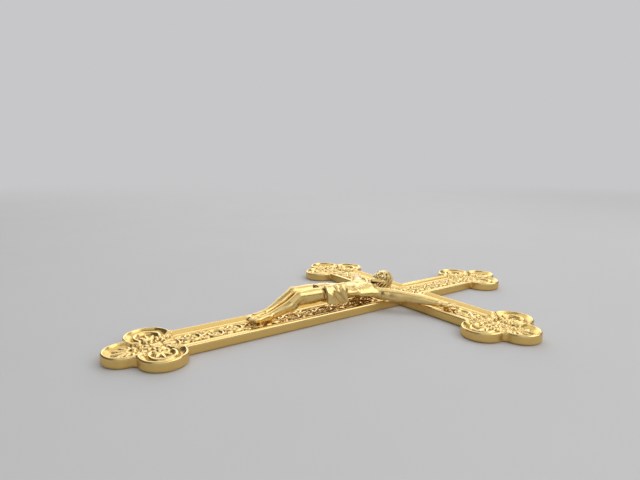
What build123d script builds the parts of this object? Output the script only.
from build123d import *
import os

# A cast brass wall crucifix lying on its back.
# X runs along the crossbar towards the figure's left, Y up the stem, Z out of the front.
# The origin is under the middle of the whole cross, on the plane of its back rim. Sizes are in mm.

# Plan of the cross, from the point where its beams cross to the side lobes of each clover end
beam_width = 24.5
crossbar_reach = 74.5
top_reach = 69.0
foot_reach = 163.0
side_lobe_radius = 11.5
side_lobe_offset = 12.9
end_lobe_radius = 10.5
end_lobe_advance = 13.8

# Section of the cross casting
plate_thickness = 5.5
rim_width = 1.3
slope_width = 2.1
panel_depth = 1.6
floor_thickness = 1.3
back_wall = 2.4

# Dished clover ends and the raised ornament in them
dish_depth = 0.5
bead_inset = 4.8
bead_width = 1.2
bead_rise = 1.1
rosette_core_radius = 2.2
rosette_rise = 1.4
petal_count = 6
petal_radius = 1.7
petal_circle_radius = 3.6
rosette_advance = 1.0
bud_radius = 2.4

# Trunk of the figure: distances below the crossing, then half widths, half depths and heights
shoulder_drop = 27.0
chest_drop = 35.0
ribs_drop = 42.0
waist_drop = 49.5
hip_drop = 57.0
seat_drop = 65.0
shoulder_half_width = 8.6
chest_half_width = 10.2
ribs_half_width = 8.9
waist_half_width = 7.7
hip_half_width = 9.0
seat_half_width = 8.4
shoulder_half_depth = 3.2
chest_half_depth = 4.6
waist_half_depth = 4.0
hip_half_depth = 4.7
shoulder_height = 9.9
chest_height = 12.0
waist_height = 12.6
hip_height = 12.6

# Head, neck, hair and beard
head_drop = 17.8
head_height = 15.4
head_half_length = 6.6
head_half_width = 5.2
head_lift = 30.0
hair_half_length = 6.6
hair_half_width = 5.9
hair_setback = 1.2
neck_radius = 3.2
beard_radius = 2.3
nose_radius = 0.9

# Legs and feet
hip_spread = 4.2
thigh_radius = 4.1
thigh_mid_drop = 70.0
thigh_mid_height = 14.8
thigh_mid_radius = 4.0
knee_drop = 82.0
knee_height = 16.5
knee_spread = 4.3
knee_radius = 3.0
kneecap_rise = 0.25
calf_drop = 89.0
calf_height = 12.7
calf_radius = 3.0
ankle_drop = 101.0
ankle_height = 8.8
ankle_spread = 2.8
ankle_radius = 1.8
heel_half_width = 1.7
heel_half_height = 1.9
foot_length = 14.0
foot_half_width = 2.2
foot_half_height = 1.5
toe_half_width = 1.8
toe_half_height = 0.9

# Loincloth with one end hanging at the figure's left hip
cloth_thickness = 0.8
cloth_top_drop = 54.5
cloth_hem_drop = 68.0
drape_half_width = 4.4
drape_half_thickness = 1.3
drape_drop = 59.0
drape_foot_gap = 0.9

# Arms, from the shoulder seam to the finger tips
shoulder_spread = 11.0
shoulder_radius = 3.6
upper_arm_radius = 3.2
elbow_spread = 24.5
elbow_drop = 17.6
elbow_height = 9.5
elbow_radius = 2.9
forearm_radius = 2.7
wrist_spread = 38.0
wrist_drop = 7.6
wrist_height = 7.5
wrist_radius = 1.9
hand_length = 10.5
palm_half_width = 2.4
palm_half_depth = 1.1
finger_half_width = 1.7
finger_half_depth = 0.7
tenon_radius = 1.2
tenon_length = 4.0

# Nails, their nuts and the bosses that carry hands and feet off the panel
nail_radius = 0.8
nail_head_radius = 1.3
nail_head_height = 0.8
nail_seat_in_hand = 0.3
nail_seat_in_foot = 0.4
nail_tail = 0.5
nut_sides = 6
nut_across_flats = 3.4
nut_thickness = 1.2
boss_radius = 1.7
boss_cover = 0.8
head_roundness = 0.7

# Hanger in the hollow back of the top beam
hanger_setback = 13.0
strap_width = 6.0
strap_thickness = 0.5
strap_length = 14.0
ring_wire_radius = 0.65
ring_length = 8.0
ring_corner_radius = 2.2
ring_side_play = 0.3
rivet_radius = 0.7
rivet_head_radius = 1.3
rivet_head_height = 0.7
rivet_spacing = 5.5
rivet_end_margin = 3.0

# Clearances
running_clearance = 0.05
fastener_clearance = 0.05
seat_clearance = 0.1
tenon_end_gap = 0.3
figure_clearance = 0.1

# Levels and places that follow from the sizes above
crossing_y = (foot_reach - top_reach) / 2
panel_z = plate_thickness - panel_depth
dish_z = panel_z - dish_depth
floor_z = panel_z - floor_thickness
sole_z = plate_thickness + figure_clearance
beam_reaches = (crossbar_reach, top_reach, crossbar_reach, foot_reach)
sides = {"left": 1, "right": -1}
from_below = (Align.CENTER, Align.CENTER, Align.MIN)
from_above = (Align.CENTER, Align.CENTER, Align.MAX)
up_the_stem = Vector(0, 1, 0)
sideways = Vector(1, 0, 0)
out_of_front = Vector(0, 0, 1)


def place(spread, drop, height):
    """Point of the figure: sideways from the stem's line, below the crossing, above the back plane."""
    return Vector(spread, crossing_y - drop, height)


def on_side(vector, side):
    """The same point or direction on the figure's left, 1, or mirrored to its right, -1."""
    return Vector(side * vector.X, vector.Y, vector.Z)


def beam_ends():
    """One location per clover end, at the crossing and turned along its beam, with the beam's reach."""
    for number, reach in enumerate(beam_reaches):
        yield Location((0, crossing_y, 0), (0, 0, number * 90)), reach


def draw_clover(reach):
    """Draw one clover end in the active sketch: three lobes and the triangle between their centres."""
    with Locations((reach, side_lobe_offset), (reach, -side_lobe_offset)):
        Circle(side_lobe_radius)
    with Locations((reach + end_lobe_advance, 0)):
        Circle(end_lobe_radius)
    corners = ((reach, side_lobe_offset), (reach, -side_lobe_offset), (reach + end_lobe_advance, 0))
    Polygon(*corners, align=None)


def limb_plane(point, towards, across):
    """Plane of one limb section, square to the limb's direction at that point."""
    return Plane(origin=point, x_dir=across, z_dir=towards)


def drill_for_nail(x, y, seat_z):
    """Stand the active limb on a boss down to the panel, then cut the nail's hole and its head's seat."""
    with Locations((x, y, panel_z)):
        Cylinder(boss_radius, seat_z - panel_z - boss_cover, align=from_below)
        Cylinder(nail_radius + fastener_clearance, seat_z - panel_z, align=from_below, mode=Mode.SUBTRACT)
    with Locations((x, y, seat_z)):
        Cylinder(nail_head_radius + seat_clearance, nail_head_height, align=from_below, mode=Mode.SUBTRACT)


def keep(builder, name):
    """Label a finished piece and write it under its own name."""
    builder.part.label = name
    export_step(builder.part, f"parts/{name}.step")


os.makedirs("parts", exist_ok=True)

# Places of the arms, for the figure's left side
seam = place(shoulder_spread, shoulder_drop, shoulder_height)
elbow = place(elbow_spread, elbow_drop, elbow_height)
wrist = place(wrist_spread, wrist_drop, wrist_height)
upper_arm_line = (elbow - seam).normalized()
forearm_line = (wrist - elbow).normalized()
upper_arm = (seam + elbow) / 2
forearm = elbow + (wrist - elbow) / 3
hand_line = Vector(forearm_line.X, forearm_line.Y, 0).normalized()
palm_z = sole_z + palm_half_depth
palm = wrist + hand_line * (hand_length / 2)
palm = Vector(palm.X, palm.Y, palm_z)
finger_tip = wrist + hand_line * hand_length
finger_tip = Vector(finger_tip.X, finger_tip.Y, sole_z + finger_half_depth)

# Places of the head: its long axis leans forward off the stem by the lift
head_centre = place(0, head_drop, head_height)
head_line = up_the_stem.rotate(Axis.X, head_lift)
face_line = out_of_front.rotate(Axis.X, head_lift)
neck_root = place(0, shoulder_drop, shoulder_height)
neck_line = (head_centre - neck_root).normalized()
hair_centre = head_centre - face_line * hair_setback
skull_and_hair = (
    (head_centre, head_half_length, head_half_width),
    (hair_centre, hair_half_length, hair_half_width),
)
chin = head_centre - head_line * (head_half_length - beard_radius / 2) + face_line * beard_radius
nose = head_centre + face_line * head_half_width

# Places of the nails
hand_nail_seat = palm_z + palm_half_depth - nail_seat_in_hand
foot_nail_drop = ankle_drop + foot_length / 2
foot_nail_seat = sole_z + 2 * foot_half_height - nail_seat_in_foot
nail_places = {}
for side_name, side in sides.items():
    nail_places[f"{side_name}_hand"] = (side * palm.X, palm.Y, hand_nail_seat)
    nail_places[f"{side_name}_foot"] = (side * ankle_spread, crossing_y - foot_nail_drop, foot_nail_seat)

# Places of the hanger
hanger_y = crossing_y + top_reach - hanger_setback
eye_bore_radius = ring_wire_radius + running_clearance
eye_radius = eye_bore_radius + strap_thickness
eye_z = floor_z - eye_radius
strap_z = floor_z - strap_thickness
lower_rivet_y = hanger_y - strap_length + rivet_end_margin
rivet_places = {"lower": lower_rivet_y, "upper": lower_rivet_y + rivet_spacing}

# Cross: one casting with a moulded rim, sunken front panels and a hollow back
with BuildPart() as cross:
    with BuildSketch() as cross_plan:
        for location, reach in beam_ends():
            with Locations(location):
                with Locations((reach / 2, 0)):
                    Rectangle(reach, beam_width)
                draw_clover(reach)
        with Locations((0, crossing_y)):
            Rectangle(beam_width, beam_width)
    extrude(amount=plate_thickness)
    for level, inset in ((plate_thickness, rim_width), (panel_z, rim_width + slope_width)):
        with BuildSketch(Plane.XY.offset(level)):
            add(cross_plan.sketch_local)
            offset(amount=-inset, kind=Kind.ARC, mode=Mode.REPLACE)
    loft(ruled=True, mode=Mode.SUBTRACT)
    with BuildSketch():
        add(cross_plan.sketch_local)
        offset(amount=-back_wall, kind=Kind.ARC, mode=Mode.REPLACE)
    extrude(amount=floor_z, mode=Mode.SUBTRACT)
    # Dish of each end, with a bead that follows the three lobes, a rosette and buds inside it
    for location, reach in beam_ends():
        with BuildSketch(mode=Mode.PRIVATE) as clover:
            with Locations(location):
                draw_clover(reach)
        with BuildSketch(Plane.XY.offset(panel_z)):
            offset(clover.sketch_local, amount=-rim_width - slope_width, kind=Kind.ARC)
        extrude(amount=-dish_depth, mode=Mode.SUBTRACT)
        with BuildSketch(Plane.XY.offset(dish_z)):
            offset(clover.sketch_local, amount=-bead_inset, kind=Kind.ARC)
            offset(clover.sketch_local, amount=-bead_inset - bead_width, kind=Kind.ARC, mode=Mode.SUBTRACT)
        extrude(amount=bead_rise)
        with BuildSketch(Plane.XY.offset(dish_z)):
            with Locations(location):
                with Locations((reach + rosette_advance, 0)):
                    Circle(rosette_core_radius)
                    with PolarLocations(petal_circle_radius, petal_count):
                        Circle(petal_radius)
                with Locations((reach, side_lobe_offset), (reach, -side_lobe_offset)):
                    Circle(bud_radius)
                with Locations((reach + end_lobe_advance, 0)):
                    Circle(bud_radius)
        extrude(amount=rosette_rise)
    # Holes for the nails and for the hanger's rivets
    for x, y, seat_z in nail_places.values():
        with Locations((x, y, panel_z)):
            Hole(nail_radius + fastener_clearance)
    for y in rivet_places.values():
        with Locations((0, y, panel_z)):
            Hole(rivet_radius + fastener_clearance)
keep(cross, "cross")

# Corpus: head, trunk, loincloth, legs and feet in one casting
with BuildPart() as corpus:
    trunk_stations = (
        (shoulder_drop, shoulder_half_width, shoulder_half_depth, shoulder_height),
        (chest_drop, chest_half_width, chest_half_depth, chest_height),
        (ribs_drop, ribs_half_width, (chest_half_depth + waist_half_depth) / 2, waist_height),
        (waist_drop, waist_half_width, waist_half_depth, waist_height),
        (hip_drop, hip_half_width, hip_half_depth, hip_height),
        (seat_drop, seat_half_width, hip_half_depth, hip_height),
    )
    for drop, half_width, half_depth, height in trunk_stations:
        with BuildSketch(limb_plane(place(0, drop, height), up_the_stem, sideways)):
            Ellipse(half_width, half_depth)
    loft()
    # Neck and head, with the crown lifted off the panel
    with BuildSketch(limb_plane(neck_root, neck_line, sideways)):
        Circle(neck_radius)
    with BuildSketch(limb_plane(head_centre, neck_line, sideways)):
        Circle(neck_radius)
    loft()
    for centre, half_length, half_width in skull_and_hair:
        with BuildSketch(limb_plane(centre, sideways, head_line)):
            Ellipse(half_length, half_width)
            with Locations((0, -half_width)):
                Rectangle(2 * half_length, 2 * half_width, mode=Mode.SUBTRACT)
        revolve(axis=Axis(centre, head_line))
    with Locations(chin):
        Sphere(beard_radius)
    with Locations(nose):
        Sphere(nose_radius)
    # Loincloth round the hips, and its hanging end
    cloth_half_width = hip_half_width + cloth_thickness
    cloth_stations = (
        (cloth_top_drop, hip_half_width, hip_half_depth, hip_height),
        (hip_drop, cloth_half_width, hip_half_depth + cloth_thickness, hip_height),
        (cloth_hem_drop, cloth_half_width, thigh_mid_radius + cloth_thickness, thigh_mid_height),
    )
    for drop, half_width, half_depth, height in cloth_stations:
        with BuildSketch(limb_plane(place(0, drop, height), up_the_stem, sideways)):
            Ellipse(half_width, half_depth)
    loft()
    for height in (sole_z + drape_foot_gap, hip_height):
        with BuildSketch(Plane(place(hip_half_width, drape_drop, height))):
            Ellipse(drape_half_thickness, drape_half_width)
    loft()
    for side in sides.values():
        # Shoulder stub, cut square where the arm meets it
        stub_root = place(side * shoulder_half_width / 2, chest_drop, chest_height)
        for point in (stub_root, on_side(seam, side)):
            with BuildSketch(limb_plane(point, on_side(upper_arm_line, side), out_of_front)):
                Circle(shoulder_radius)
        loft()
        # Leg: thigh, knee, shin and foot
        hip = place(side * hip_spread, hip_drop, hip_height)
        thigh_mid = place(side * (hip_spread + knee_spread) / 2, thigh_mid_drop, thigh_mid_height)
        knee = place(side * knee_spread, knee_drop, knee_height)
        calf = place(side * (knee_spread + ankle_spread) / 2, calf_drop, calf_height)
        ankle = place(side * ankle_spread, ankle_drop, ankle_height)
        for point, radius in ((hip, thigh_radius), (thigh_mid, thigh_mid_radius), (knee, knee_radius)):
            with BuildSketch(limb_plane(point, knee - hip, sideways)):
                Circle(radius)
        loft()
        with Locations(knee):
            Sphere(knee_radius + kneecap_rise)
        for point, radius in ((knee, knee_radius), (calf, calf_radius), (ankle, ankle_radius)):
            with BuildSketch(limb_plane(point, ankle - knee, sideways)):
                Circle(radius)
        loft()
        foot_stations = (
            (ankle_drop - heel_half_width, heel_half_width, heel_half_height),
            (foot_nail_drop, foot_half_width, foot_half_height),
            (ankle_drop + foot_length, toe_half_width, toe_half_height),
        )
        for drop, half_width, half_height in foot_stations:
            sole = place(side * ankle_spread, drop, sole_z + half_height)
            with BuildSketch(limb_plane(sole, up_the_stem, sideways)):
                Ellipse(half_width, half_height)
        loft()
    for side in sides.values():
        # Socket for the arm's tenon, with the arm's own room kept clear beyond the seam
        seam_plane = limb_plane(on_side(seam, side), on_side(upper_arm_line, side), out_of_front)
        socket_depth = tenon_length + tenon_end_gap
        with Locations(seam_plane.location):
            Cylinder(tenon_radius + fastener_clearance, socket_depth, align=from_above, mode=Mode.SUBTRACT)
            Cylinder(shoulder_radius + seat_clearance, shoulder_radius, align=from_below, mode=Mode.SUBTRACT)
    for limb, (x, y, seat_z) in nail_places.items():
        if limb.endswith("foot"):
            drill_for_nail(x, y, seat_z)
keep(corpus, "corpus")

# Arms: one casting each, from the shoulder seam to the finger tips, with a tenon for the shoulder
with BuildPart() as left_arm:
    arm_stations = (
        (seam, upper_arm_line, shoulder_radius, shoulder_radius),
        (upper_arm, upper_arm_line, upper_arm_radius, upper_arm_radius),
        (elbow, (upper_arm_line + forearm_line).normalized(), elbow_radius, elbow_radius),
        (forearm, forearm_line, forearm_radius, forearm_radius),
        (wrist, forearm_line, wrist_radius, wrist_radius),
        (palm, hand_line, palm_half_depth, palm_half_width),
        (finger_tip, hand_line, finger_half_depth, finger_half_width),
    )
    for point, line, half_depth, half_width in arm_stations:
        with BuildSketch(limb_plane(point, line, out_of_front)):
            Ellipse(half_depth, half_width)
    loft()
    with Locations(limb_plane(seam, upper_arm_line, out_of_front).location):
        Cylinder(tenon_radius, tenon_length, align=from_above)
    drill_for_nail(*nail_places["left_hand"])
keep(left_arm, "left_arm")

with BuildPart() as right_arm:
    mirror(left_arm.part, about=Plane.YZ)
keep(right_arm, "right_arm")

# Nails with domed heads, and the nuts that draw them up in the hollow back
nut_z = floor_z - nut_thickness
for limb, (x, y, seat_z) in nail_places.items():
    with BuildPart() as nail:
        with BuildSketch(Plane(Vector(x, y, nut_z - nail_tail))):
            Circle(nail_radius)
        extrude(amount=seat_z - nut_z + nail_tail)
        with BuildSketch(Plane(Vector(x, y, seat_z))):
            Circle(nail_head_radius)
        extrude(amount=nail_head_height)
        fillet(nail.edges().group_by(Axis.Z)[-1], nail_head_height * head_roundness)
    keep(nail, f"{limb}_nail")
    with BuildPart() as nut:
        with BuildSketch(Plane(Vector(x, y, nut_z))):
            RegularPolygon(nut_across_flats / 2, nut_sides, major_radius=False)
            Circle(nail_radius + fastener_clearance, mode=Mode.SUBTRACT)
        extrude(amount=nut_thickness)
    keep(nut, f"{limb}_nut")

# Hanger strap: a flat leaf riveted under the floor, rolled into an eye at its upper end
with BuildPart() as hanger_strap:
    with BuildSketch(Plane(Vector(0, hanger_y, floor_z))):
        Rectangle(strap_width, strap_length, align=(Align.CENTER, Align.MAX))
        for y in rivet_places.values():
            with Locations((0, y - hanger_y)):
                Circle(rivet_radius + fastener_clearance, mode=Mode.SUBTRACT)
    extrude(amount=-strap_thickness)
    with BuildSketch(Plane.YZ.offset(-strap_width / 2)):
        with Locations((hanger_y, eye_z)):
            Circle(eye_radius)
    extrude(amount=strap_width)
    with BuildSketch(Plane.YZ.offset(-strap_width / 2)):
        with Locations((hanger_y, eye_z)):
            Circle(eye_bore_radius)
    extrude(amount=strap_width, mode=Mode.SUBTRACT)
keep(hanger_strap, "hanger_strap")

# Rivets through the strap and the floor, filed flush with the front panel
for rivet_name, y in rivet_places.items():
    with BuildPart() as rivet:
        with BuildSketch(Plane(Vector(0, y, panel_z))):
            Circle(rivet_radius)
        extrude(amount=-floor_thickness - strap_thickness)
        with BuildSketch(Plane(Vector(0, y, strap_z))):
            Circle(rivet_head_radius)
        extrude(amount=-rivet_head_height)
        fillet(rivet.edges().group_by(Axis.Z)[0], rivet_head_height * head_roundness)
    keep(rivet, f"{rivet_name}_rivet")

# Hanger ring: a wire loop whose straight bar turns in the strap's eye
with BuildPart() as hanger_ring:
    ring_half_width = strap_width / 2 + ring_side_play + ring_corner_radius
    with BuildLine(Plane(Vector(0, hanger_y, eye_z))) as ring_path:
        FilletPolyline(
            (-ring_half_width, 0),
            (ring_half_width, 0),
            (ring_half_width, ring_length),
            (-ring_half_width, ring_length),
            radius=ring_corner_radius,
            close=True,
        )
    with BuildSketch(Plane(origin=ring_path.line @ 0, z_dir=ring_path.line % 0)):
        Circle(ring_wire_radius)
    sweep()
keep(hanger_ring, "hanger_ring")
